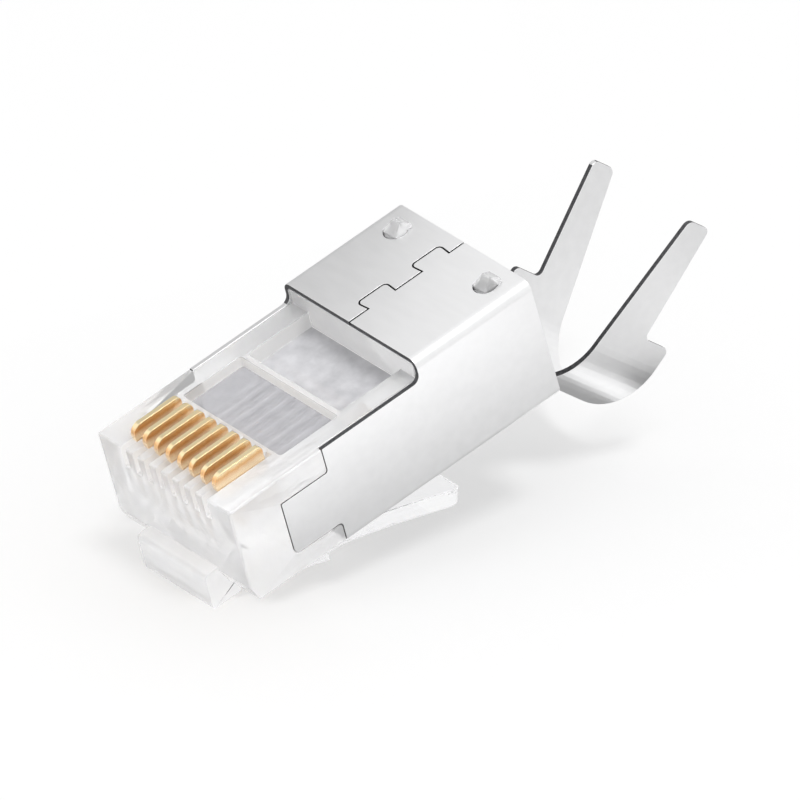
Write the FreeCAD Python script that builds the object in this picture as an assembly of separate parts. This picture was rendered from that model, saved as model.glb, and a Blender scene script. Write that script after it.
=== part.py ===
"""Shielded eight-way RJ45 modular plug with a bent-down tail and two crimp claws.

Modelled in plug axes: X across the contacts, Y from the nose to the rear, Z from the belly up to
the contact side, with Z = 0 on the nose's belly. lay_down() then turns the finished pieces into
the pose in which a loose plug rests: on its nose block and latch tail.
"""
import FreeCAD
import Part
import os
import math

V = FreeCAD.Vector

# ---------------------------------------------------------------- clearances
fit_gap = 0.02            # between the housing and the sheet folded round it
blade_gap = 0.04          # each side of a contact blade in its slot
hinge_gap = 0.08          # round the latch root
relief_gap = 0.15         # beside and ahead of the tongue that folds down to the tail

# ---------------------------------------------------------------- housing, nose
plug_width = 11.68
nose_height = 6.40
nose_front_y = -0.15
nose_corner = 0.15        # radius on the long edges and the front corners
chin_height = 1.00        # slanted lower edge of the front face
chin_depth = 0.43

# ---------------------------------------------------------------- contacts
contact_count = 8
contact_pitch = 1.02
blade_thickness = 0.35
blade_front_y = 0.60
blade_rear_y = 4.10
blade_top_z = 7.30        # proud of the ribs, because the plug isn't crimped yet
blade_lip_z = 6.42
blade_lip_setback = 0.10
blade_neck_y = 0.95
blade_root_z = 4.30
blade_tooth_z = 3.50
blade_front_radius = 0.62
blade_rear_radius = 0.35
blade_barb = 0.18
blade_tooth_count = 3

# ---------------------------------------------------------------- slots, wires and windows
slot_floor_z = 2.60
slot_end_clearance = 0.12
slot_ramp_length = 0.30   # bevel that leads the tool into the rear of each slot
slot_ramp_depth = 0.35
slot_lip_z = 5.00         # the slots open through the front face above this
slot_front_y = 0.45
wire_radius = 0.46
wire_z = 2.55
wire_front_y = 0.90
tray_front_y = 4.75       # shallow tray behind the contacts
tray_width = 8.60
tray_depth = 0.70
ridge_y = 8.85            # cross ridge between the tray and the strain-relief window
ridge_thickness = 0.35
window_width = 8.20
window_depth = 1.05

# ---------------------------------------------------------------- cable cavity
cavity_width = 9.30
cavity_corner = 0.60
cavity_floor_z = 0.95
guide_end_y = 9.60        # rear mouth of the wire channels
cavity_front_y = 10.90
cavity_step_y = 14.20
cavity_low_top_z = 4.85
roof_wall = 0.65

# ---------------------------------------------------------------- shield sleeve
sheet = 0.30
shield_height = 7.75
roof_bend = 0.60          # outside bend radius along the roof's edges
belly_bend = 0.36         # outside bend radius along the belly's edges
belly_z = -0.12           # outside of the belly plate
shield_rear_y = 21.75
roof_front_y = 13.50
plate_front_y = 6.45      # belly plate and full-height sides start here
ear_front_y = 3.12
ear_bottom_z = 1.25
ear_top_z = 4.80
ear_corner = 0.40
housing_rear_inset = 0.35
latch_notch_width = 6.80
latch_notch_depth = 3.20

# ---------------------------------------------------------------- dovetail seam
seam_gap = 0.08
seam_x = 0.10
tongue_depth = 0.95
tongue_root_width = 1.84
tongue_tip_width = 2.00
tongue_corner = 0.25
tongue_first_y = 15.85
tongue_pitch = 3.85
tongue_count = 2

# ---------------------------------------------------------------- snap bosses
boss_x = 3.95
boss_y = 20.08
boss_hole_radius = 0.70
boss_setback = 0.22       # gap in the hole, ahead of the hook
boss_height = 0.56        # above the sheet
boss_length = 1.25
boss_width = 1.18
boss_crest_width = 0.62

# ---------------------------------------------------------------- latch
latch_width = 6.05
latch_front_y = -1.15
latch_bottom_z = -1.15
latch_block_top_z = 1.20
foot_radius = 0.20        # lower edges that the loose plug rests on
pivot_y = 1.35
pivot_z = -0.62
lever_thickness = 1.00
lever_slope = 19.2        # degrees below the belly
shoulder_y = 6.65
lever_root_width = 4.80   # the narrow lever where it leaves the shoulders
lever_waist_width = 3.80
lever_waist = 2.00        # behind the shoulders
lever_tail_width = 3.25
lever_taper = 5.60        # behind the shoulders, where the lever reaches its tail width
lever_length = 16.20      # from the living hinge to the tip
shoulder_corner = 0.45
tail_corner = 1.00
tip_radius = 0.45         # upper edge of the tip

# ---------------------------------------------------------------- tail and claws
tail_droop = 52.3         # degrees that the tail strip hangs below the belly plate
fold_radius = 0.40
fold_y = 20.98
neck_width = 4.60
neck_length = 2.70
cradle_radius = 4.21
cradle_half_angle = 81.8
claw_width = 4.99
claw_arm_length = 8.32
claw_shoulder_rise = 1.26
finger_root_width = 2.90
finger_tip_width = 1.71
finger_lean = 0.63
finger_corner = 0.40

# ---------------------------------------------------------------- derived sizes
half_width = plug_width / 2
chin_rear_y = nose_front_y + chin_depth
core_half_width = half_width - sheet - fit_gap
core_floor_z = belly_z + sheet + fit_gap
core_top_z = shield_height - sheet - fit_gap
core_top_corner = roof_bend - sheet + fit_gap
core_floor_corner = belly_bend - sheet + fit_gap
riser_y = roof_front_y + fit_gap
housing_rear_y = shield_rear_y - housing_rear_inset
slot_width = blade_thickness + 2 * blade_gap
slot_rear_y = blade_rear_y + slot_end_clearance
contact_x = [(i - (contact_count - 1) / 2) * contact_pitch for i in range(contact_count)]
beyond = 2.0              # how far a cutting tool runs past what it cuts


# ================================================================ drawing helpers
def rounded_wire(corners, place):
    """Closed outline through (u, v, radius) corners; place(u, v) gives the point in space."""
    count = len(corners)
    runs = []
    for i in range(count):
        u, v, radius = corners[i]
        before = V(corners[i - 1][0] - u, corners[i - 1][1] - v, 0)
        after = V(corners[(i + 1) % count][0] - u, corners[(i + 1) % count][1] - v, 0)
        corner = V(u, v, 0)
        if radius <= 0:
            runs.append((corner, None, corner))
            continue
        before.normalize()
        after.normalize()
        half = before.getAngle(after) / 2
        reach = radius / math.tan(half)
        bisector = before + after
        bisector.normalize()
        middle = corner + bisector * (radius / math.sin(half) - radius)
        runs.append((corner + before * reach, middle, corner + after * reach))
    edges = []
    for i in range(count):
        start, middle, end = runs[i]
        if middle is not None:
            edges.append(Part.Arc(place(start.x, start.y), place(middle.x, middle.y),
                                  place(end.x, end.y)).toShape())
        nxt = runs[(i + 1) % count][0]
        if (nxt - end).Length > 1e-6:
            edges.append(Part.makeLine(place(end.x, end.y), place(nxt.x, nxt.y)))
    return Part.Wire(edges)


def side_prism(corners, x0, x1):
    """Outline in (Y, Z) pushed across the plug from x0 to x1."""
    wire = rounded_wire(corners, lambda y, z: V(x0, y, z))
    return Part.Face(wire).extrude(V(x1 - x0, 0, 0))


def front_prism(corners, y0, y1):
    """Outline in (X, Z) pushed rearwards from y0 to y1."""
    wire = rounded_wire(corners, lambda x, z: V(x, y0, z))
    return Part.Face(wire).extrude(V(0, y1 - y0, 0))


def plan_prism(corners, z0, z1):
    """Outline in (X, Y) pushed upwards from z0 to z1."""
    wire = rounded_wire(corners, lambda x, y: V(x, y, z0))
    return Part.Face(wire).extrude(V(0, 0, z1 - z0))


def block(x0, x1, y0, y1, z0, z1):
    return Part.makeBox(x1 - x0, y1 - y0, z1 - z0, V(x0, y0, z0))


def centred(width, y0, y1, z0, z1):
    return block(-width / 2, width / 2, y0, y1, z0, z1)


# ================================================================ housing
def nose_block():
    """Front of the moulding at full width, with rounded edges and a slanted chin."""
    w = half_width
    r = nose_corner
    top = nose_height
    y0 = nose_front_y
    y1 = plate_front_y
    side = side_prism([(y0, chin_height, 0), (y0, top, r), (y1, top, 0), (y1, 0, 0),
                       (chin_rear_y, 0, 0)], -w, w)
    front = front_prism([(-w, 0, r), (w, 0, r), (w, top, r), (-w, top, r)], y0, y1)
    plan = plan_prism([(-w, y0, r), (w, y0, r), (w, y1, 0), (-w, y1, 0)], 0, top)
    return side.common(front).common(plan)


def shielded_core():
    """Rear of the moulding, which fills the sleeve and rises under its roof."""
    w = core_half_width
    low = core_floor_corner
    high = core_top_corner
    core = front_prism([(-w, core_floor_z, low), (w, core_floor_z, low), (w, core_top_z, high),
                        (-w, core_top_z, high)], plate_front_y, housing_rear_y)
    step = centred(plug_width, plate_front_y - beyond, riser_y, nose_height, core_top_z + beyond)
    return core.cut(step)


def snap_boss(x):
    """Wedge hook that stands through a roof hole and holds the sheet down."""
    top = shield_height + boss_height
    lip = shield_height + fit_gap
    front = boss_y - boss_hole_radius + boss_setback
    rear = front + boss_length
    post_rear = rear - 0.25 * boss_length
    foot = core_top_z - roof_wall / 2
    side = side_prism([(front, foot, 0), (front, lip, 0), (rear - 0.45 * boss_length, top, 0.1),
                       (rear, lip + 0.4 * boss_height, 0), (rear, lip, 0), (post_rear, lip, 0),
                       (post_rear, foot, 0)], x - boss_width / 2, x + boss_width / 2)
    half_foot = boss_width / 2
    half_crest = boss_crest_width / 2
    front_view = front_prism([(x - half_foot, foot, 0), (x + half_foot, foot, 0), (x + half_foot, lip, 0),
                              (x + half_crest, top, 0), (x - half_crest, top, 0), (x - half_foot, lip, 0)],
                             front - beyond, rear + beyond)
    shank = Part.makeCylinder(boss_hole_radius - fit_gap, beyond * 3, V(x, boss_y, foot))
    head = block(x - boss_width, x + boss_width, front - beyond, rear + beyond, lip, top + beyond)
    return side.common(front_view).common(shank.fuse(head))


def nose_foot():
    """Block under and ahead of the nose: the fixed half of the living hinge."""
    w = latch_width / 2
    seat_radius = lever_thickness / 2 + hinge_gap
    foot = side_prism([(latch_front_y, latch_bottom_z, foot_radius),
                       (latch_front_y, latch_block_top_z, 0.35),
                       (chin_rear_y, latch_block_top_z, 0), (chin_rear_y, chin_height / 2, 0),
                       (pivot_y, chin_height / 2, 0), (pivot_y, 0, 0), (pivot_y, pivot_z, 0),
                       (pivot_y - lever_thickness / 2, latch_bottom_z, 0)], -w, w)
    seat = Part.makeCylinder(seat_radius, latch_width + 2 * beyond,
                             V(-w - beyond, pivot_y, pivot_z), V(1, 0, 0))
    below = block(-w - beyond, w + beyond, pivot_y - lever_thickness / 2, pivot_y + beyond,
                  latch_bottom_z - beyond, pivot_z)
    return foot.cut(seat).cut(below)


def contact_slots():
    """Eight open slots with a wire channel under each."""
    tools = []
    for x in contact_x:
        a = x - slot_width / 2
        b = x + slot_width / 2
        tools.append(block(a, b, slot_front_y, slot_rear_y, slot_floor_z, nose_height + beyond))
        tools.append(block(a, b, -beyond, slot_rear_y, slot_lip_z, nose_height + beyond))
        tools.append(side_prism([(slot_rear_y, nose_height - slot_ramp_depth, 0),
                                 (slot_rear_y, nose_height, 0),
                                 (slot_rear_y + slot_ramp_length, nose_height, 0)], a, b))
        tools.append(Part.makeCylinder(wire_radius, guide_end_y + cavity_corner - wire_front_y,
                                       V(x, wire_front_y, wire_z), V(0, 1, 0)))
    return tools


def cable_cavity():
    """Hollow for the cable, narrowing by a ramp to the row of wire channels."""
    ceiling = core_top_z - roof_wall
    rear = housing_rear_y + beyond
    low = wire_z - wire_radius
    high = wire_z + wire_radius
    side = side_prism([(guide_end_y, low, 0), (guide_end_y, high, 0),
                       (cavity_front_y, cavity_low_top_z, 0.4),
                       (cavity_step_y, cavity_low_top_z, 0.3), (cavity_step_y + 1.0, ceiling, 0.4),
                       (rear, ceiling, 0), (rear, cavity_floor_z, 0), (cavity_front_y, cavity_floor_z, 0.4)],
                      -cavity_width / 2, cavity_width / 2)
    w = cavity_width / 2
    front = front_prism([(-w, cavity_floor_z, cavity_corner), (w, cavity_floor_z, cavity_corner),
                         (w, ceiling, cavity_corner), (-w, ceiling, cavity_corner)], guide_end_y, rear)
    return side.common(front)


def top_windows():
    """Tray behind the contacts and strain-relief window under the roof's edge, split by a ridge."""
    tray = plan_prism([(-tray_width / 2, tray_front_y, 0.2), (tray_width / 2, tray_front_y, 0.2),
                       (tray_width / 2, ridge_y, 0.2), (-tray_width / 2, ridge_y, 0.2)],
                      nose_height - tray_depth, nose_height + beyond)
    start = ridge_y + ridge_thickness
    window = centred(window_width, start, riser_y, nose_height - window_depth, nose_height + beyond)
    return [tray, window]


def side_outline(grow):
    """Edge of a side plate in (Y, Z), grown all round by a clearance."""
    front = ear_front_y - grow
    step = plate_front_y - grow
    return [(front, ear_bottom_z - grow, ear_corner), (front, ear_top_z + grow, 0.05),
            (step, ear_top_z + grow, 0.2), (step, nose_height + grow, 0.05),
            (roof_front_y - grow, nose_height + grow, 0.5), (roof_front_y - grow, shield_height + beyond, 0),
            (shield_rear_y, shield_height + beyond, 0), (shield_rear_y, -beyond, 0),
            (step, -beyond, 0), (step, ear_bottom_z - grow, 0.25)]


def make_housing():
    body = nose_block().fuse(shielded_core()).fuse(nose_foot())
    recess = side_outline(fit_gap * 2)
    for side in (-1, 1):
        inner = side * core_half_width
        outer = side * (half_width + beyond)
        body = body.cut(side_prism(recess, min(inner, outer), max(inner, outer)))
    body = body.cut(cable_cavity())
    for tool in contact_slots() + top_windows():
        body = body.cut(tool)
    for side in (-1, 1):
        body = body.fuse(snap_boss(side * boss_x))
    return body.removeSplitter()


# ================================================================ latch
def make_latch():
    """Sprung lever: wide locking part with square shoulders, then the narrow finger tail."""
    half = lever_thickness / 2
    # drawn level from the hinge, then turned down about it
    wide = latch_width / 2
    root = lever_root_width / 2
    waist = lever_waist_width / 2
    thin = lever_tail_width / 2
    slope = math.radians(lever_slope)
    shoulder = (shoulder_y - pivot_y) / math.cos(slope)
    behind = shoulder + lever_thickness * math.tan(slope)
    right = [(wide, 0, 0), (wide, behind, 0), (root, behind, 0), (waist, shoulder + lever_waist, 3.0),
             (thin, shoulder + lever_taper, 15.0), (thin, lever_length, tail_corner)]
    left = [(-x, y, radius) for x, y, radius in reversed(right)]
    plan = plan_prism(right + left, -half, half)
    side = side_prism([(0, -half, 0), (lever_length, -half, foot_radius), (lever_length, half, tip_radius),
                       (0, half, 0)], -wide, wide)
    lever = plan.common(side)
    lever.rotate(V(0, 0, 0), V(1, 0, 0), -lever_slope)
    lever.translate(V(0, pivot_y, pivot_z))
    for side_sign in (-1, 1):
        x0 = side_sign * root
        x1 = side_sign * (wide + beyond)
        trim = plan_prism([(x0, shoulder_y, shoulder_corner), (x1, shoulder_y, 0),
                           (x1, shoulder_y + beyond, 0), (x0, shoulder_y + beyond, 0)],
                          -lever_length, 0)
        lever = lever.cut(trim)
    hinge = Part.makeCylinder(half, latch_width, V(-wide, pivot_y, pivot_z), V(1, 0, 0))
    return lever.fuse(hinge).removeSplitter()


# ================================================================ contacts
def make_contact(x):
    """Stamped blade: rounded contact nose, side barbs and piercing teeth at its foot."""
    y0 = blade_front_y
    y1 = blade_rear_y
    neck = blade_neck_y
    corners = [(y0 + blade_lip_setback, blade_lip_z, 0), (y0, blade_top_z, blade_front_radius),
               (y1, blade_top_z, blade_rear_radius), (y1, blade_root_z + 3 * blade_barb, 0),
               (y1 - blade_barb, blade_root_z + blade_barb, 0), (y1 - blade_barb, blade_root_z, 0)]
    tooth = (y1 - blade_barb - neck) / blade_tooth_count
    for i in range(blade_tooth_count):
        start = y1 - blade_barb - i * tooth
        corners.append((start - tooth / 2, blade_tooth_z, 0))
        corners.append((start - tooth, blade_root_z, 0))
    corners.append((neck, blade_lip_z - 2 * blade_barb, 0))
    corners.append((neck - blade_barb, blade_lip_z - blade_barb, 0))
    return side_prism(corners, x - blade_thickness / 2, x + blade_thickness / 2)


# ================================================================ shield
def sleeve():
    """Box section of the folded sheet, trimmed to the side outline."""
    def tube(inset, y0, y1):
        w = half_width - inset
        low = belly_z + inset
        high = shield_height - inset
        return front_prism([(-w, low, belly_bend - inset), (w, low, belly_bend - inset),
                            (w, high, roof_bend - inset), (-w, high, roof_bend - inset)], y0, y1)
    outer = tube(0, ear_front_y, shield_rear_y)
    inner = tube(sheet, ear_front_y - beyond, shield_rear_y + beyond)
    return outer.cut(inner).common(side_prism(side_outline(0), -half_width, half_width))


def dovetail_seam():
    """Thin wavy slit along the roof where the two halves of the sheet lock together."""
    left = []
    for i in range(tongue_count):
        mid = tongue_first_y + i * tongue_pitch
        left.append((seam_x, mid - tongue_root_width / 2, 0))
        left.append((seam_x - tongue_depth, mid - tongue_tip_width / 2, tongue_corner))
        left.append((seam_x - tongue_depth, mid + tongue_tip_width / 2, tongue_corner))
        left.append((seam_x, mid + tongue_root_width / 2, 0))
    far = half_width + beyond
    path = [(far, roof_front_y - beyond, 0), (seam_x, roof_front_y - beyond, 0)] + left
    path += [(seam_x, shield_rear_y + beyond, 0), (far, shield_rear_y + beyond, 0)]
    place = lambda x, y: V(x, y, shield_height - 2 * sheet)
    half_plane = rounded_wire(path, place)
    grown = half_plane.makeOffset2D(seam_gap)
    band = Part.Face(grown).cut(Part.Face(half_plane))
    slit = band.extrude(V(0, 0, 3 * sheet))
    return slit.common(centred(4 * tongue_depth, roof_front_y - beyond / 2, shield_rear_y + beyond / 2,
                               shield_height - 2 * sheet, shield_height + sheet))


def tail_relief():
    """Cut in the belly plate's rear edge that frees the tongue to fold down."""
    return centred(neck_width + 2 * relief_gap, fold_y - relief_gap, shield_rear_y + beyond,
                   belly_z - sheet, belly_z + sheet + fit_gap)


def tail_fold():
    """Belly plate's rear tongue, folded down by the droop angle."""
    top = belly_z + sheet
    w = neck_width / 2
    tongue = centred(neck_width, fold_y - relief_gap - sheet, fold_y, belly_z, top)
    wire = rounded_wire([(-w, belly_z, 0), (w, belly_z, 0), (w, top, 0), (-w, top, 0)],
                        lambda x, z: V(x, fold_y, z))
    fold = Part.Face(wire).revolve(V(0, fold_y, belly_z - fold_radius), V(1, 0, 0), -tail_droop)
    return tongue.fuse(fold)


def arc_section(y, half_angle):
    """Closed slice of the cradle's sheet at y, from -half_angle to +half_angle (degrees)."""
    def rim(radius, degrees):
        a = math.radians(degrees)
        return V(radius * math.sin(a), y, cradle_radius - radius * math.cos(a))
    outer = cradle_radius
    inner = cradle_radius - sheet
    low = Part.Arc(rim(outer, -half_angle), rim(outer, 0), rim(outer, half_angle)).toShape()
    high = Part.Arc(rim(inner, half_angle), rim(inner, 0), rim(inner, -half_angle)).toShape()
    right = Part.makeLine(rim(outer, half_angle), rim(inner, half_angle))
    left = Part.makeLine(rim(inner, -half_angle), rim(outer, -half_angle))
    return Part.Wire([low, right, high, left])


def tail_neck():
    """Strip from the fold to the cradle: flat at the fold, dished like the cradle at its end."""
    w = neck_width / 2
    flat = Part.makePolygon([V(-w, 0, 0), V(w, 0, 0), V(w, 0, sheet), V(-w, 0, sheet), V(-w, 0, 0)])
    dished = arc_section(neck_length, math.degrees(w / cradle_radius))
    return Part.makeLoft([flat, dished], True, True)


def claw_keep(side):
    """What stays of one arm, seen from the side: a broad root with a shoulder, then a tapered finger."""
    front = neck_length
    rear = neck_length + claw_width
    bend_rise = cradle_radius * (1 - math.cos(math.radians(cradle_half_angle)))
    shoulder = bend_rise + claw_shoulder_rise * math.sin(math.radians(cradle_half_angle))
    tip = bend_rise + claw_arm_length * math.sin(math.radians(cradle_half_angle))
    r = finger_corner
    outline = [(front, -beyond, 0), (front, bend_rise, 4 * r), (front + finger_lean, tip, r),
               (front + finger_lean + finger_tip_width, tip, r), (front + finger_root_width, shoulder, r),
               (rear, shoulder, r), (rear, -beyond, 0)]
    if side < 0:
        outline = [(front + rear - w, h, radius) for w, h, radius in reversed(outline)]
    x0, x1 = sorted((0, side * (cradle_radius + claw_arm_length)))
    return side_prism(outline, x0, x1)


def cradle():
    """Trough bent to the cable, with its two opposed claws standing up from it."""
    arc = Part.Face(arc_section(neck_length, cradle_half_angle)).extrude(V(0, claw_width, 0))
    angle = math.radians(cradle_half_angle)
    sheets = arc
    for side in (-1, 1):
        along = V(side * math.cos(angle), 0, math.sin(angle)) * claw_arm_length
        inward = V(-side * math.sin(angle), 0, math.cos(angle)) * sheet
        foot = V(side * cradle_radius * math.sin(angle), neck_length, cradle_radius * (1 - math.cos(angle)))
        arm = Part.makePolygon([foot, foot + along, foot + along + inward, foot + inward, foot])
        sheets = sheets.fuse(Part.Face(arm).extrude(V(0, claw_width, 0)))
    kept = claw_keep(-1).fuse(claw_keep(1))
    return sheets.common(kept)


def tail():
    """Neck, cradle and claws, hung from the end of the fold at the droop angle."""
    hanging = tail_neck().fuse(cradle())
    hanging.rotate(V(0, 0, 0), V(1, 0, 0), -tail_droop)
    droop = math.radians(tail_droop)
    hanging.translate(V(0, fold_y + fold_radius * math.sin(droop),
                        belly_z - fold_radius * (1 - math.cos(droop))))
    return hanging


def make_shield():
    body = sleeve().cut(dovetail_seam())
    for side in (-1, 1):
        hole = Part.makeCylinder(boss_hole_radius, 4 * sheet,
                                 V(side * boss_x, boss_y, shield_height - 2 * sheet))
        body = body.cut(hole)
    w = latch_notch_width / 2
    notch = plan_prism([(-w, plate_front_y - beyond, 0), (w, plate_front_y - beyond, 0),
                        (w, plate_front_y + latch_notch_depth, 0.5),
                        (-w, plate_front_y + latch_notch_depth, 0.5)], belly_z - sheet, belly_z + 2 * sheet)
    body = body.cut(notch).cut(tail_relief())
    return body.fuse(tail_fold()).fuse(tail()).removeSplitter()


# ================================================================ resting pose
def rest_pitch():
    """Angle (degrees) that brings the rounded feet of nose block and latch tail level."""
    slope = math.radians(lever_slope)
    along = lever_length - foot_radius
    below = lever_thickness / 2 - foot_radius
    tail_y = pivot_y + along * math.cos(slope) - below * math.sin(slope)
    tail_z = pivot_z - along * math.sin(slope) - below * math.cos(slope)
    nose_y = latch_front_y + foot_radius
    nose_z = latch_bottom_z + foot_radius
    return math.degrees(math.atan2(nose_z - tail_z, tail_y - nose_y))


def lay_down(pieces):
    """Tip the plug onto its two feet and centre its box over the origin."""
    for shape in pieces.values():
        shape.rotate(V(0, 0, 0), V(1, 0, 0), rest_pitch())
    box = Part.makeCompound(list(pieces.values())).BoundBox
    shift = V(-box.Center.x, -box.Center.y, -box.ZMin)
    for shape in pieces.values():
        shape.translate(shift)
    return shift


def build():
    pieces = {"housing": make_housing(), "latch": make_latch(), "shield": make_shield()}
    for number, x in enumerate(contact_x, start=1):
        pieces["contact_%d" % number] = make_contact(x)
    return pieces


pieces = build()
shift = lay_down(pieces)
os.makedirs("parts", exist_ok=True)
for name, shape in pieces.items():
    shape.exportStep("parts/%s.step" % name)
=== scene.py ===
import bmesh
import bpy
import math
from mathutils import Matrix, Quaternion, Vector
from mathutils.bvhtree import BVHTree
from mathutils.kdtree import KDTree


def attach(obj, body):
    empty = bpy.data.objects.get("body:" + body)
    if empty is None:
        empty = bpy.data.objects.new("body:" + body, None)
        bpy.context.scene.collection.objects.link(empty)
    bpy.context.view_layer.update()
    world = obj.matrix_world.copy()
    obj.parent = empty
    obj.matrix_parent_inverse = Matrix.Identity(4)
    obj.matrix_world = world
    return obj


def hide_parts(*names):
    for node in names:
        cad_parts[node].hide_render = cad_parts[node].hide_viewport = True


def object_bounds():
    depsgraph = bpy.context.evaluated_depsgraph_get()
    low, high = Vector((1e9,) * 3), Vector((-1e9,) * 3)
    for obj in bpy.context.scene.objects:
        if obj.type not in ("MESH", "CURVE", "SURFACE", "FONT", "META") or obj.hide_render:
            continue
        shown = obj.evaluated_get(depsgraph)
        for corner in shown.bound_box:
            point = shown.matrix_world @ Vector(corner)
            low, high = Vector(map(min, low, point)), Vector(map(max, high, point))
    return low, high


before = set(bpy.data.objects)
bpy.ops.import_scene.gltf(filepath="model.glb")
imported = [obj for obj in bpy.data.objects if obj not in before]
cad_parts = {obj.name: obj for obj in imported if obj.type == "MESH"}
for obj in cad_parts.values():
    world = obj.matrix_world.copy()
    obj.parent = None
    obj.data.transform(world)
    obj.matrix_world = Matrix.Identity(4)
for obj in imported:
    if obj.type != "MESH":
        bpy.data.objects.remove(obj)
cad_low, cad_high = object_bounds()

# ---- Housing -------------------------------------------------------------------------------
# The body of the plug: one clear injection moulding in polycarbonate, with eight blade slots
# over the nose, an open tray behind them and a window to the cable cavity under the roof.
# It carries the contacts, the latch and the folded shield.


def new_finish(name):
    """A material with only its shader and output, and a place to build its pattern."""
    material = bpy.data.materials.new(name)
    material.use_nodes = True
    tree = material.node_tree
    shader = tree.nodes["Principled BSDF"]
    return material, tree, shader


def object_pattern(tree, scale, detail, stretch=(1.0, 1.0, 1.0)):
    """Noise that sits on the piece itself, with scale in features per metre."""
    place = tree.nodes.new("ShaderNodeTexCoord")
    mapping = tree.nodes.new("ShaderNodeMapping")
    mapping.inputs["Scale"].default_value = stretch
    noise = tree.nodes.new("ShaderNodeTexNoise")
    noise.inputs["Scale"].default_value = scale
    noise.inputs["Detail"].default_value = detail
    tree.links.new(place.outputs["Object"], mapping.inputs["Vector"])
    tree.links.new(mapping.outputs["Vector"], noise.inputs["Vector"])
    return noise.outputs["Fac"]


def spread(tree, value, low, high):
    """The pattern stretched over a range of the shader's own value."""
    span = tree.nodes.new("ShaderNodeMapRange")
    span.inputs["To Min"].default_value = low
    span.inputs["To Max"].default_value = high
    tree.links.new(value, span.inputs["Value"])
    return span.outputs["Result"]


def tint(tree, value, dark, light):
    """The pattern as a slow change between two colours."""
    ramp = tree.nodes.new("ShaderNodeValToRGB")
    ramp.color_ramp.elements[0].position = 0.3
    ramp.color_ramp.elements[0].color = (*dark, 1.0)
    ramp.color_ramp.elements[1].position = 0.7
    ramp.color_ramp.elements[1].color = (*light, 1.0)
    tree.links.new(value, ramp.inputs["Fac"])
    return ramp.outputs["Color"]


def relief(tree, shader, value, height):
    """Fine unevenness of the surface, height in metres."""
    bump = tree.nodes.new("ShaderNodeBump")
    bump.inputs["Distance"].default_value = height
    bump.inputs["Strength"].default_value = 1.0
    tree.links.new(value, bump.inputs["Height"])
    tree.links.new(bump.outputs["Normal"], shader.inputs["Normal"])


STRAY_SHARE = 1.2         # a bevelled corner this many radii off the piece has run away
NEIGHBOUR_SHARE = 3.0     # and belongs to an old corner within this many radii of its neighbours


def bring_back_corners(piece, radius):
    """Make the bevel real, and put the few corners that ran off the piece back on its old ones."""
    sharp = piece.data
    finished = piece.evaluated_get(bpy.context.evaluated_depsgraph_get())
    shape = bpy.data.meshes.new_from_object(finished)
    surface = BVHTree.FromPolygons([v.co for v in sharp.vertices],
                                   [p.vertices for p in sharp.polygons])
    homes = KDTree(len(sharp.vertices))
    for vertex in sharp.vertices:
        homes.insert(vertex.co, vertex.index)
    homes.balance()
    strays = {v.index for v in shape.vertices
              if surface.find_nearest(v.co)[3] > radius * STRAY_SHARE}
    for stray in strays:
        close = []
        for edge in shape.edges:
            if stray in edge.vertices:
                other = edge.vertices[0] + edge.vertices[1] - stray
                home, gap = homes.find(shape.vertices[other].co)[1:]
                if other not in strays and gap < radius * NEIGHBOUR_SHARE:
                    close.append(home)
        corner = max(sorted(set(close)), key=close.count)
        shape.vertices[stray].co = sharp.vertices[corner].co
    piece.modifiers.clear()
    piece.data = shape


WELD = 0.000001
FLAT_ANGLE = math.radians(0.5)
SHARP_ANGLE = math.radians(30.0)


def rounded(node, body, radius):
    """A welded copy of a CAD piece that stands for it, with its sharp edges broken."""
    skin = bmesh.new()
    skin.from_mesh(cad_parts[node].data)
    bmesh.ops.remove_doubles(skin, verts=skin.verts, dist=WELD)
    bmesh.ops.dissolve_limit(skin, angle_limit=FLAT_ANGLE, verts=skin.verts, edges=skin.edges)
    for face in skin.faces:
        face.smooth = True
    mesh = bpy.data.meshes.new(f"{node}_skin")
    skin.to_mesh(mesh)
    skin.free()
    mesh.set_sharp_from_angle(angle=SHARP_ANGLE)
    piece = bpy.data.objects.new(f"{node}_skin", mesh)
    bpy.context.scene.collection.objects.link(piece)
    edge = piece.modifiers.new("broken edges", "BEVEL")
    edge.width = radius
    edge.segments = 2
    edge.limit_method = "ANGLE"
    edge.angle_limit = SHARP_ANGLE
    edge.use_clamp_overlap = False
    edge.harden_normals = True
    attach(piece, body)
    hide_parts(node)
    return piece


def dress(piece, material):
    """The finish all over a piece."""
    piece.data.materials.clear()
    piece.data.materials.append(material)


REFRACTION = 1.585
FLOW_MARKS = 1000.0       # in a metre
FLOW_MARK_DETAIL = 3.0
FLOW_MARK_HEIGHT = 0.000022
POLISH_LOW, POLISH_HIGH = 0.04, 0.10


def clear_finish(name, dark, light, clearness):
    """Clear polycarbonate, a little milky, with faint flow marks between two tints."""
    plastic, tree, shader = new_finish(name)
    shader.inputs["IOR"].default_value = REFRACTION
    shader.inputs["Transmission Weight"].default_value = clearness
    flow_marks = object_pattern(tree, FLOW_MARKS, FLOW_MARK_DETAIL)
    tree.links.new(tint(tree, flow_marks, dark, light), shader.inputs["Base Color"])
    tree.links.new(spread(tree, flow_marks, POLISH_LOW, POLISH_HIGH), shader.inputs["Roughness"])
    relief(tree, shader, flow_marks, FLOW_MARK_HEIGHT)
    return plastic


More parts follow.
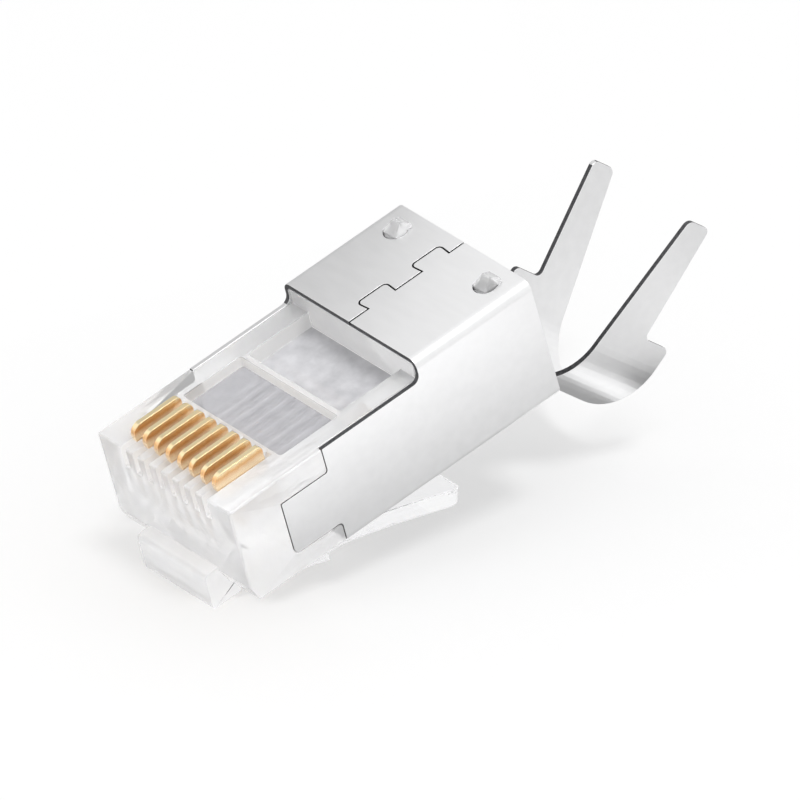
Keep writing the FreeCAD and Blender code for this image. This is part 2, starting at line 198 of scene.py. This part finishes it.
polycarbonate = clear_finish("clear polycarbonate", (0.975, 0.975, 0.99), (1.0, 1.0, 1.0), 0.62)
# Darker greys for the floors of the tray and the window: painted shade.
tray_floor_painted_shade = clear_finish("tray floor painted shade", (0.48, 0.48, 0.51), (0.54, 0.54, 0.57), 0.60)
window_floor_painted_shade = clear_finish("window floor painted shade", (0.63, 0.63, 0.66), (0.84, 0.84, 0.87), 0.25)
# Near black for the moulding's top under the sheet: painted shade.
painted_shade_under_sheet = clear_finish("painted shade under the sheet", (0.04, 0.04, 0.045), (0.07, 0.07, 0.075), 0.10)
# A whiter, less clear finish for the tray walls: painted light.
tray_wall_painted_light = clear_finish("tray wall painted light", (0.985, 0.985, 0.99), (1.0, 1.0, 1.0), 0.20)
MOULDED_EDGE = 0.00005    # radius of an edge as it leaves the mould
moulding = rounded("housing", "plug", MOULDED_EDGE)
bring_back_corners(moulding, MOULDED_EDGE)

# Light from the lamp and from the table goes through the moulding, as it does through clear
# plastic this thin.

moulding.visible_shadow = False
moulding.visible_diffuse = False
dress(moulding, polycarbonate)

# The thin floors of the tray and the window are painted darker grey: painted shade for the dark
# cable space and the belly plate beneath them. The top of the moulding under the sheet is
# painted near black: painted shade under the sheet. The tray walls get a whiter, less clear
# finish: painted light. Places are in the plug's own axes, from the foot of its front face.

LEAN_BACK = math.radians(16.765)
FOOT = Vector((0.0, -0.015494, 0.001392))
plug_rear = Vector((0.0, math.cos(LEAN_BACK), math.sin(LEAN_BACK)))
plug_up = Vector((0.0, -math.sin(LEAN_BACK), math.cos(LEAN_BACK)))
FLOOR_LOW, FLOOR_HIGH = 0.0050, 0.0060
WALL_LOW, WALL_HIGH = 0.0053, 0.0062
WALL_REACH = 0.0044       # the tray's walls stand this far from the middle
SHEET_UNDERSIDE = 0.00745
SHEET_MARGIN = 0.0002
TRAY_FRONT, RIDGE, WINDOW_REAR = 0.0047, 0.0090, 0.0136
FACES_UP = 0.9
IN_TRAY, IN_WINDOW, UNDER_SHEET, ON_WALL = 1, 2, 3, 4
moulding.data.materials.append(tray_floor_painted_shade)
moulding.data.materials.append(window_floor_painted_shade)
moulding.data.materials.append(painted_shade_under_sheet)
moulding.data.materials.append(tray_wall_painted_light)
for face in moulding.data.polygons:
    place = face.center - FOOT
    height, depth = place.dot(plug_up), place.dot(plug_rear)
    upward = face.normal.dot(plug_up) > FACES_UP
    over_cavity = abs(place.x) < WALL_REACH and TRAY_FRONT < depth < WINDOW_REAR
    if upward and FLOOR_LOW < height < FLOOR_HIGH:
        if TRAY_FRONT < depth < RIDGE:
            face.material_index = IN_TRAY
        elif RIDGE < depth < WINDOW_REAR:
            face.material_index = IN_WINDOW
    elif upward and SHEET_UNDERSIDE - SHEET_MARGIN < height < SHEET_UNDERSIDE:
        face.material_index = UNDER_SHEET
    elif over_cavity and WALL_LOW < height < WALL_HIGH:
        face.material_index = ON_WALL

# ---- Latch ---------------------------------------------------------------------------------
# The springy lever under the nose that clicks into the jack, moulded in one shot with the
# housing on a thin hinge. It is the same clear polycarbonate.

lever = rounded("latch", "latch", MOULDED_EDGE)
bring_back_corners(lever, MOULDED_EDGE)
lever.visible_diffuse = False
thin_plastic = clear_finish("thin clear polycarbonate", (0.975, 0.975, 0.99), (1.0, 1.0, 1.0),
                            0.92)
dress(lever, thin_plastic)

# ---- Contacts ------------------------------------------------------------------------------
# Eight stamped phosphor-bronze blades, plated with nickel and then gold. They stand proud of
# their slots until the crimping tool drives them down through the wires.

# Near the top of each blade the gold is painted by height: painted light on the top, and painted
# shade below it.
BLADE_TOP = 0.0073
PAINTED_SHADE_DEPTH = 0.0012     # the gold changes colour over this much below the top
WEAR_MARKS = 2600.0       # in a metre
WEAR_SHARE = 0.10
STAMPED_EDGE = 0.00003
gold, tree, shader = new_finish("gold plate with painted shade")
shader.inputs["Metallic"].default_value = 1.0
wear = object_pattern(tree, WEAR_MARKS, 4.0)
spot = tree.nodes.new("ShaderNodeTexCoord")
rise = tree.nodes.new("ShaderNodeVectorMath")
rise.operation = "DOT_PRODUCT"
rise.inputs[1].default_value = plug_up
tree.links.new(spot.outputs["Object"], rise.inputs[0])
up_blade = tree.nodes.new("ShaderNodeMapRange")
up_blade.inputs["From Min"].default_value = FOOT.dot(plug_up) + BLADE_TOP - PAINTED_SHADE_DEPTH
up_blade.inputs["From Max"].default_value = FOOT.dot(plug_up) + BLADE_TOP
tree.links.new(rise.outputs["Value"], up_blade.inputs["Value"])
uneven = tree.nodes.new("ShaderNodeMath")
uneven.operation = "ADD"
tree.links.new(up_blade.outputs["Result"], uneven.inputs[0])
tree.links.new(spread(tree, wear, -WEAR_SHARE, WEAR_SHARE), uneven.inputs[1])
# A painted highlight at the top, then painted shade: a dark streak and an orange band under it.
painted_light_ramp = tree.nodes.new("ShaderNodeValToRGB")
painted_light_ramp.color_ramp.elements[0].position = 0.45
painted_light_ramp.color_ramp.elements[0].color = (1.0, 0.80, 0.55, 1.0)
painted_light_ramp.color_ramp.elements[1].position = 0.92
painted_light_ramp.color_ramp.elements[1].color = (1.0, 0.84, 0.53, 1.0)
painted_shade_streak = painted_light_ramp.color_ramp.elements.new(0.74)
painted_shade_streak.color = (0.86, 0.50, 0.23, 1.0)
painted_side_shade = painted_light_ramp.color_ramp.elements.new(0.84)
painted_side_shade.color = (0.97, 0.66, 0.34, 1.0)
tree.links.new(uneven.outputs["Value"], painted_light_ramp.inputs["Fac"])
tree.links.new(painted_light_ramp.outputs["Color"], shader.inputs["Base Color"])
tree.links.new(spread(tree, wear, 0.22, 0.27), shader.inputs["Roughness"])
relief(tree, shader, wear, 0.000001)
for number in range(1, 9):
    blade = rounded(f"contact_{number}", "plug", STAMPED_EDGE)
    blade.visible_transmission = False
    dress(blade, gold)

# ---- Shield --------------------------------------------------------------------------------
# One blank of thin brass sheet, stamped, folded round the housing, closed on top with a
# dovetail seam and plated in satin nickel. Its tail is the strap of the crimp claws.

BRUSH_MARKS = 1800.0      # in a metre, drawn out across the plug
FOLDED_EDGE = 0.00004
nickel, tree, shader = new_finish("satin nickel plate")
shader.inputs["Metallic"].default_value = 1.0
grain = object_pattern(tree, BRUSH_MARKS, 5.0, (0.25, 1.0, 1.0))
plate_colour = tint(tree, grain, (0.86, 0.86, 0.865), (0.89, 0.89, 0.895))
tree.links.new(plate_colour, shader.inputs["Base Color"])
tree.links.new(spread(tree, grain, 0.30, 0.38), shader.inputs["Roughness"])
relief(tree, shader, grain, 0.000003)
cover = rounded("shield", "plug", FOLDED_EDGE)
cover.visible_transmission = False
dress(cover, nickel)

# The narrow faces of the sheet, where the press cut it, are darker: partly the raw cut metal,
# mostly painted shade of the dark gap between the sheet and the plastic. A narrow face with no
# other side close behind it is the sheet's own thickness. The top rail of the far side stays
# bright.

SHEET = 0.00030
JUST_INSIDE = 0.02        # shares of the sheet's thickness
BEHIND_REACH = 1.8
NARROW = 0.7
FAR_SIDE = -0.005
BRIGHT, CUT_EDGE_AND_SHADE = 0, 1
SHEAR_MARKS = 5200.0      # in a metre
# Near black metal on the cut faces: mostly painted shade, a little of it the raw cut.
cut_edge_and_shade, tree, shader = new_finish("cut edge and painted shade")
shader.inputs["Metallic"].default_value = 1.0
drag = object_pattern(tree, SHEAR_MARKS, 3.0)
cut_and_shade_colour = tint(tree, drag, (0.08, 0.08, 0.085), (0.14, 0.14, 0.145))
tree.links.new(cut_and_shade_colour, shader.inputs["Base Color"])
tree.links.new(spread(tree, drag, 0.40, 0.55), shader.inputs["Roughness"])
cover.data.materials.append(cut_edge_and_shade)
metal = bmesh.new()
metal.from_mesh(cover.data)
behind = BVHTree.FromBMesh(metal)
for face in metal.faces:
    start = face.calc_center_median() - face.normal * SHEET * JUST_INSIDE
    other_side = behind.ray_cast(start, -face.normal, SHEET * BEHIND_REACH)[0]
    narrow = face.calc_area() < face.calc_perimeter() * SHEET * NARROW
    far_rail = start.x < FAR_SIDE and face.normal.dot(plug_up) > FACES_UP
    face.material_index = CUT_EDGE_AND_SHADE if narrow and other_side is None and not far_rail else BRIGHT
metal.to_mesh(cover.data)
metal.free()

# ---- Table top -----------------------------------------------------------------------------
# A wide sheet of matt white board that the plug lies on. It isn't part of the plug. The camera
# sees it partly washed with white, and clear plastic shows it almost plain white.

BOARD_SIDE = 6.0
WASH_WHITE = 0.99
CAMERA_WASH = 0.28
CLEAR_WASH = 0.85
bpy.ops.mesh.primitive_plane_add(size=BOARD_SIDE, location=(0.0, 0.0, 0.0))
table_top = bpy.context.object
table_top.name = "table_top"
board, tree, shader = new_finish("matt white board")
shader.inputs["Base Color"].default_value = (0.96, 0.96, 0.96, 1.0)
shader.inputs["Roughness"].default_value = 0.9
shader.inputs["Specular IOR Level"].default_value = 0.1
table_top.data.materials.append(board)
bright = board.node_tree.nodes.new("ShaderNodeEmission")
bright.inputs["Strength"].default_value = WASH_WHITE
ray = tree.nodes.new("ShaderNodeLightPath")
washed = tree.nodes.new("ShaderNodeMixShader")
part_white = tree.nodes.new("ShaderNodeMath")
part_white.operation = "MULTIPLY"
part_white.inputs[1].default_value = CAMERA_WASH
through_clear = tree.nodes.new("ShaderNodeMath")
through_clear.operation = "MULTIPLY_ADD"
through_clear.inputs[1].default_value = CLEAR_WASH
tree.links.new(ray.outputs["Is Camera Ray"], part_white.inputs[0])
tree.links.new(ray.outputs["Is Transmission Ray"], through_clear.inputs[0])
tree.links.new(part_white.outputs["Value"], through_clear.inputs[2])
tree.links.new(through_clear.outputs["Value"], washed.inputs["Fac"])
tree.links.new(shader.outputs["BSDF"], washed.inputs[1])
tree.links.new(bright.outputs["Emission"], washed.inputs[2])
tree.links.new(washed.outputs["Shader"], tree.nodes["Material Output"].inputs["Surface"])

# ---- Lamps ---------------------------------------------------------------------------------
# A white tent all round that the camera and glossy and clear things see as plain white, and one
# softbox high on the right. Light bounces often enough to cross all the clear walls.

TENT_LIGHT = 0.86
PLAIN_WHITE = 1.0
KEY_REACH, KEY_SIDE, KEY_SHARE = 0.6, 0.14, 0.21
paths = bpy.context.scene.cycles
paths.max_bounces = 24
paths.diffuse_bounces = 10
paths.glossy_bounces = 16
paths.transmission_bounces = 24
world = bpy.data.worlds.new("white tent")
bpy.context.scene.world = world
world.use_nodes = True
tent = world.node_tree
walls = tent.nodes["Background"]
walls.inputs["Color"].default_value = (1.0, 1.0, 1.0, 1.0)
walls.inputs["Strength"].default_value = TENT_LIGHT
beyond = tent.nodes.new("ShaderNodeBackground")
beyond.inputs["Color"].default_value = (1.0, 1.0, 1.0, 1.0)
beyond.inputs["Strength"].default_value = PLAIN_WHITE
seen = tent.nodes.new("ShaderNodeLightPath")
plainly = tent.nodes.new("ShaderNodeMath")
plainly.operation = "MAXIMUM"
tent.links.new(seen.outputs["Is Camera Ray"], plainly.inputs[0])
tent.links.new(seen.outputs["Is Glossy Ray"], plainly.inputs[1])
through = tent.nodes.new("ShaderNodeMath")
through.operation = "MAXIMUM"
tent.links.new(plainly.outputs["Value"], through.inputs[0])
tent.links.new(seen.outputs["Is Transmission Ray"], through.inputs[1])
either = tent.nodes.new("ShaderNodeMixShader")
tent.links.new(through.outputs["Value"], either.inputs["Fac"])
tent.links.new(walls.outputs["Background"], either.inputs[1])
tent.links.new(beyond.outputs["Background"], either.inputs[2])
tent.links.new(either.outputs["Shader"], tent.nodes["World Output"].inputs["Surface"])


def softbox(name, direction, reach, side, share):
    """A square lamp that faces the plug and lights a level white sheet to that share of white."""
    lamp = bpy.data.lights.new(name, "AREA")
    lamp.shape = "SQUARE"
    lamp.size = side
    lamp.energy = share * math.pi * math.pi * reach ** 2 / direction.normalized().z
    holder = bpy.data.objects.new(name, lamp)
    bpy.context.scene.collection.objects.link(holder)
    holder.location = middle + direction.normalized() * reach
    holder.rotation_euler = direction.to_track_quat("Z", "Y").to_euler()
    holder.visible_camera = False


middle = (cad_low + cad_high) / 2.0
softbox("key_softbox", Vector((0.41, 0.0, 1.0)), KEY_REACH, KEY_SIDE, KEY_SHARE)


def card(name, corners, shade):
    """A studio card that only reflections show. Past clear plastic it shows plain white."""
    sheet = bmesh.new()
    sheet.faces.new([sheet.verts.new(corner) for corner in corners])
    mesh = bpy.data.meshes.new(name)
    sheet.to_mesh(mesh)
    sheet.free()
    holder = bpy.data.objects.new(name, mesh)
    bpy.context.scene.collection.objects.link(holder)
    paper, tree, shader = new_finish(name)
    shader.inputs["Base Color"].default_value = (0.0, 0.0, 0.0, 1.0)
    shader.inputs["Specular IOR Level"].default_value = 0.0
    shader.inputs["Emission Color"].default_value = (1.0, 1.0, 1.0, 1.0)
    path = tree.nodes.new("ShaderNodeLightPath")
    tree.links.new(spread(tree, path.outputs["Transmission Depth"], shade, 1.0),
                   shader.inputs["Emission Strength"])
    mesh.materials.append(paper)
    holder.visible_camera = False
    holder.visible_diffuse = False
    holder.visible_transmission = False
    holder.visible_shadow = False


CARD_LIFT = 0.0001        # a card lies this far above the table


def floor_card(name, corners, shade):
    """A card that lies on the table, through corners (x, y) in millimetres."""
    card(name, [Vector((x / 1000.0, y / 1000.0, CARD_LIFT)) for x, y in corners], shade)


# The dark flags under the plug and its tail give reflections the dark of the shaded table there:
# painted shade, seen only in reflections.
floor_card("under_flag", [(-4.0, -17.0), (9.5, -20.0), (22.5, 20.0), (17.0, 20.0), (8.0, 8.0),
                          (-4.0, 8.0)], 0.62)
floor_card("side_card", [(18.5, -18.0), (31.0, -18.0), (37.0, 22.0), (24.5, 20.0)], 1.60)
floor_card("side_rise", [(31.0, -22.0), (70.0, -22.0), (80.0, 30.0), (37.0, 22.0)], 0.78)
floor_card("tail_card", [(2.4, 8.5), (5.4, 8.5), (5.2, 12.8), (2.8, 12.8)], 1.20)
floor_card("knee_card", [(6.0, 9.5), (9.0, 9.5), (10.5, 14.0), (9.0, 14.6), (6.0, 12.6)], 0.60)
floor_card("tail_flag", [(5.2, 12.8), (7.5, 13.6), (11.0, 17.0), (10.0, 20.0), (5.2, 16.0)], 0.12)
floor_card("left_flag", [(-4.0, 8.5), (2.0, 8.5), (2.0, 15.0), (-4.0, 15.0)], 0.35)
floor_card("rear_card", [(14.0, 21.5), (60.0, 28.0), (60.0, 90.0), (8.0, 60.0)], 0.72)
floor_card("far_side_card", [(-9.0, -22.0), (-9.0, 24.0), (-26.0, 30.0), (-30.0, -40.0)], 0.50)
floor_card("far_side_rise", [(-30.0, -40.0), (-26.0, 30.0), (-60.0, 50.0), (-70.0, -80.0)], 0.72)
floor_card("front_card", [(8.0, -22.0), (60.0, -22.0), (80.0, -90.0), (8.0, -60.0)], 0.62)

# The roof shows the sky along mirror. This card hangs there, so the left part of the roof is
# darker. Its near rim runs across, and it reaches leftward.

ROOF_CARD_AWAY = 0.020
ROOF_CARD_HALF = 0.025
ROOF_CARD_REACH = 0.030
mirror = Vector((-0.6911, 0.1956, 0.6958))
leftward = Vector((-0.7227, -0.1870, -0.6650))
across = mirror.cross(leftward)
rim = Vector((-0.001, 0.0012, 0.0138)) + mirror * ROOF_CARD_AWAY
card("roof_card", [rim + across * ROOF_CARD_HALF,
                   rim - across * ROOF_CARD_HALF,
                   rim - across * ROOF_CARD_HALF + leftward * ROOF_CARD_REACH,
                   rim + across * ROOF_CARD_HALF + leftward * ROOF_CARD_REACH], 0.62)

# ---- Camera --------------------------------------------------------------------------------
# A long lens on a tripod, looking down on the nose, the open top and the right side. Its head
# leans a little to one side.

TURN = math.radians(51.618)
TILT = math.radians(28.157)
LEAN = math.radians(0.63)
SCALE = 18.4264           # how large a millimetre is drawn in an image of this side
IMAGE_SIDE = 800.0
aim = Vector((0.001866, -0.002657, 0.007985))
back = Vector((math.sin(TURN) * math.cos(TILT), -math.cos(TURN) * math.cos(TILT), math.sin(TILT)))
distance = 2.0
lens = bpy.data.cameras.new("camera")
lens.sensor_width = 36.0
lens.lens = SCALE * distance * 1000.0 * lens.sensor_width / IMAGE_SIDE
lens.clip_start = 0.01
lens.clip_end = 20.0
camera = bpy.data.objects.new("camera", lens)
bpy.context.scene.collection.objects.link(camera)
camera.location = aim + back * distance
level = (-back).to_track_quat("-Z", "Y")
camera.rotation_euler = (level @ Quaternion((0.0, 0.0, 1.0), LEAN)).to_euler()
bpy.context.scene.camera = camera
bpy.context.scene.view_settings.view_transform = "Standard"
